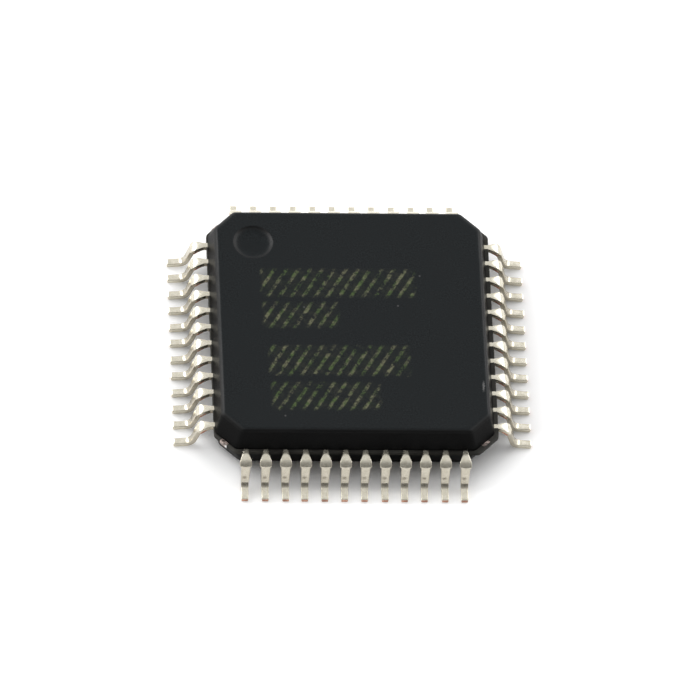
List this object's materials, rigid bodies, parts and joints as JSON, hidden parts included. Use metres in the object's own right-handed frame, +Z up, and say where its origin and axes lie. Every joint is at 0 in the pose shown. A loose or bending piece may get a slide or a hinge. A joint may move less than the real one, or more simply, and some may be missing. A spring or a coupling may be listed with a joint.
{
  "type": "bus terminator chip",
  "caption": "Square black moulded quad flat package chip with gull-wing leads on every side, a corner dimple and chamfered corners, for terminating a bus on a circuit board.",
  "frame": {"origin": "centre of the package on the plane that the lead feet stand on", "axes": "+Z up out of the marked top face; +X to the right and +Y to the rear, with lead 1 at the rear of the left side"},
  "size_m": [0.009, 0.009, 0.0015],
  "materials": {
    "mould_compound": "fine matt epoxy mould compound",
    "tin_plate": "satin tin plating over copper alloy",
    "lead_frame_copper": "bare copper alloy",
    "die_attach_epoxy": "silver-filled epoxy",
    "silicon": "polished silicon",
    "wire_gold": "drawn gold wire"
  },
  "bodies": {
    "root": {"mould_body": "mould_compound", "die_paddle": "lead_frame_copper", "die_attach": "die_attach_epoxy", "die": "silicon", "bond_wires": "wire_gold", "lead_01": "tin_plate", "lead_02": "tin_plate", "lead_03": "tin_plate", "lead_04": "tin_plate", "lead_05": "tin_plate", "lead_06": "tin_plate", "lead_07": "tin_plate", "lead_08": "tin_plate", "lead_09": "tin_plate", "lead_10": "tin_plate", "lead_11": "tin_plate", "lead_12": "tin_plate", "lead_13": "tin_plate", "lead_14": "tin_plate", "lead_15": "tin_plate", "lead_16": "tin_plate", "lead_17": "tin_plate", "lead_18": "tin_plate", "lead_19": "tin_plate", "lead_20": "tin_plate", "lead_21": "tin_plate", "lead_22": "tin_plate", "lead_23": "tin_plate", "lead_24": "tin_plate", "lead_25": "tin_plate", "lead_26": "tin_plate", "lead_27": "tin_plate", "lead_28": "tin_plate", "lead_29": "tin_plate", "lead_30": "tin_plate", "lead_31": "tin_plate", "lead_32": "tin_plate", "lead_33": "tin_plate", "lead_34": "tin_plate", "lead_35": "tin_plate", "lead_36": "tin_plate", "lead_37": "tin_plate", "lead_38": "tin_plate", "lead_39": "tin_plate", "lead_40": "tin_plate", "lead_41": "tin_plate", "lead_42": "tin_plate", "lead_43": "tin_plate", "lead_44": "tin_plate", "lead_45": "tin_plate", "lead_46": "tin_plate", "lead_47": "tin_plate", "lead_48": "tin_plate"}
  },
  "joints": []
}
